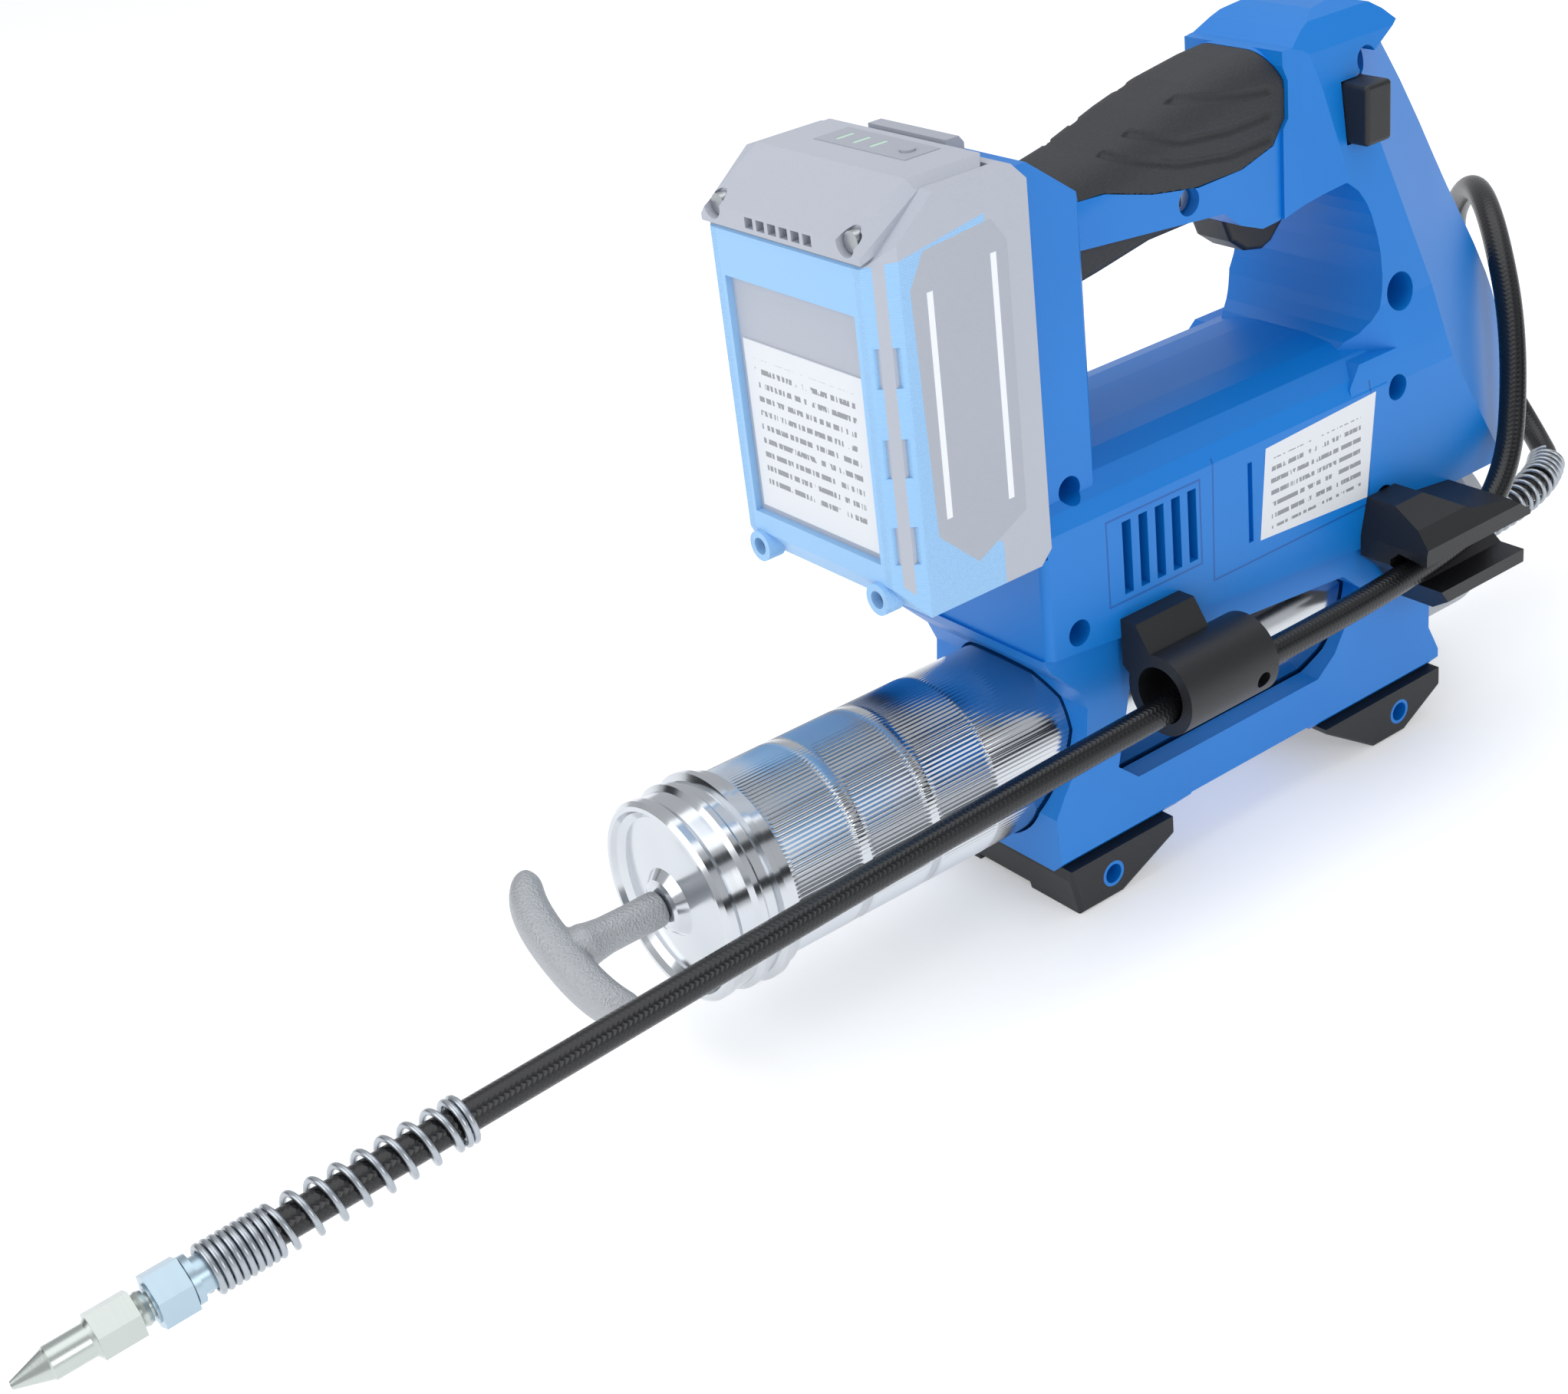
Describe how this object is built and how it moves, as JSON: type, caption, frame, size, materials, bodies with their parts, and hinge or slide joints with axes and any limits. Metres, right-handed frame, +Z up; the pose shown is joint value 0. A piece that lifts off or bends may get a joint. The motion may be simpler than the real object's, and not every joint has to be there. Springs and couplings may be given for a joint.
{
  "type": "cordless grease gun",
  "caption": "Battery grease gun: knurled grease barrel with T-handle rod under a motor body with top grip and trigger, whip hose with nozzle, clip-on battery.",
  "frame": {"origin": "on the floor between the two feet, straight below the barrel axis", "axes": "+Z up, +X along the barrel from the pull handle to the hose outlet, -Y the side with the hose holders"},
  "size_m": [0.6314, 0.1168, 0.2427],
  "materials": {
    "blue_shell": "fine-grained moulded shell, satin",
    "grip_rubber": "soft grip, fine grain",
    "label": "printed film",
    "steel": "bright",
    "black_plastic": "moulded, satin",
    "board": "coated board",
    "cast_aluminium": "cast, matt",
    "chromed_tube": "polished, with knurled bands",
    "rubber": "moulded",
    "cast_handle": "cast, bead-blasted",
    "foot_rubber": "moulded, matt",
    "hose_rubber": "smooth with a cloth imprint",
    "spring_wire": "plated wire",
    "zinc_plate": "blue-white zinc",
    "nozzle_steel": "machined",
    "brass": "stamped",
    "pack_blue": "moulded, satin",
    "pack_grey": "moulded, satin",
    "cell_wrap": "shrink wrap",
    "pack_dark": "moulded",
    "gauge_bar": "clear window"
  },
  "bodies": {
    "housing": {"housing_left": "blue_shell", "housing_right": "blue_shell", "top_grip": "grip_rubber", "under_grip": "grip_rubber", "rating_label": "label", "housing_screws": "steel", "trigger_switch": "black_plastic", "trigger_spring": "steel", "control_board": "board", "motor_can": "steel", "gear_bracket": "cast_aluminium", "pump_head": "cast_aluminium", "check_valve_spring": "steel", "barrel_cradle": "blue_shell", "front_foot": "foot_rubber", "rear_foot": "foot_rubber", "foot_sleeves": "steel", "hose_holder": "black_plastic", "rear_hose_clip": "black_plastic", "hose": "hose_rubber", "outlet_guard": "spring_wire", "coupler_guard": "spring_wire", "outlet_fitting": "zinc_plate", "hose_end_nut": "zinc_plate", "nozzle": "nozzle_steel", "battery_rail": "black_plastic", "contact_blades": "brass"},
    "trigger": {"trigger": "black_plastic"},
    "lock_button": {"lock_button": "black_plastic"},
    "armature": {"motor_armature": "steel", "drive_pinion": "steel", "cooling_fan": "black_plastic"},
    "gear": {"reduction_gear": "steel"},
    "plunger": {"pump_plunger": "steel"},
    "valve_ball": {"check_valve_ball": "steel"},
    "barrel": {"barrel": "chromed_tube"},
    "cap": {"barrel_cap": "chromed_tube", "cap_gasket": "rubber", "follower_spring": "steel"},
    "rod": {"follower_rod": "steel", "t_handle": "cast_handle", "follower_cup": "rubber", "cup_washer": "steel"},
    "battery": {"battery_shell": "pack_blue", "battery_core": "pack_grey", "battery_cells": "cell_wrap", "battery_side_panels": "pack_blue", "battery_cover": "pack_grey", "battery_gauge": "pack_dark", "gauge_bars": "gauge_bar", "battery_label": "label", "battery_screws": "steel", "latch_spring": "steel"},
    "latch": {"battery_latch": "pack_dark"},
    "gauge_button": {"gauge_button": "pack_dark"}
  },
  "joints": [
    {"name": "trigger_pull", "type": "slide", "parent": "housing", "child": "trigger", "axis": [0, 0, 1], "range_m": [0, 0.0045], "stiffness_N_per_m": 900, "springref_m": -0.003, "deforming": ["trigger_spring"]},
    {"name": "lock_slide", "type": "slide", "parent": "housing", "child": "lock_button", "axis": [0, 1, 0], "range_m": [0, 0.006]},
    {"name": "armature_spin", "type": "hinge", "parent": "housing", "child": "armature", "pos_m": [0, 0, 0.112], "axis": [1, 0, 0], "continuous": true},
    {"name": "gear_spin", "type": "hinge", "parent": "housing", "child": "gear", "pos_m": [0.08, 0, 0.139], "axis": [1, 0, 0], "continuous": true},
    {"name": "plunger_stroke", "type": "slide", "parent": "housing", "child": "plunger", "axis": [0, 0, -1], "range_m": [0, 0.0115]},
    {"name": "valve_lift", "type": "slide", "parent": "housing", "child": "valve_ball", "axis": [1, 0, 0], "range_m": [0, 0.002], "stiffness_N_per_m": 400, "springref_m": -0.002, "deforming": ["check_valve_spring"]},
    {"name": "barrel_screw", "type": "hinge", "parent": "housing", "child": "barrel", "pos_m": [0, 0, 0.05], "axis": [1, 0, 0], "continuous": true},
    {"name": "cap_screw", "type": "hinge", "parent": "barrel", "child": "cap", "pos_m": [-0.19, 0, 0.05], "axis": [1, 0, 0], "continuous": true},
    {"name": "rod_pull", "type": "slide", "parent": "cap", "child": "rod", "axis": [-1, 0, 0], "range_m": [0, 0.18], "stiffness_N_per_m": 60, "springref_m": -0.05, "deforming": ["follower_spring"]},
    {"name": "battery_slide", "type": "slide", "parent": "housing", "child": "battery", "axis": [0, 0, 1], "range_m": [0, 0.085]},
    {"name": "latch_press", "type": "slide", "parent": "battery", "child": "latch", "axis": [0, 0, -1], "range_m": [0, 0.003], "stiffness_N_per_m": 800, "springref_m": -0.002, "deforming": ["latch_spring"]},
    {"name": "gauge_press", "type": "slide", "parent": "battery", "child": "gauge_button", "axis": [0, 0, -1], "range_m": [0, 0.0008], "stiffness_N_per_m": 1200, "springref_m": -0.001}
  ],
  "couplings": [
    {"joint": "gear_spin", "follows": "armature_spin", "ratio": -0.22727}
  ]
}
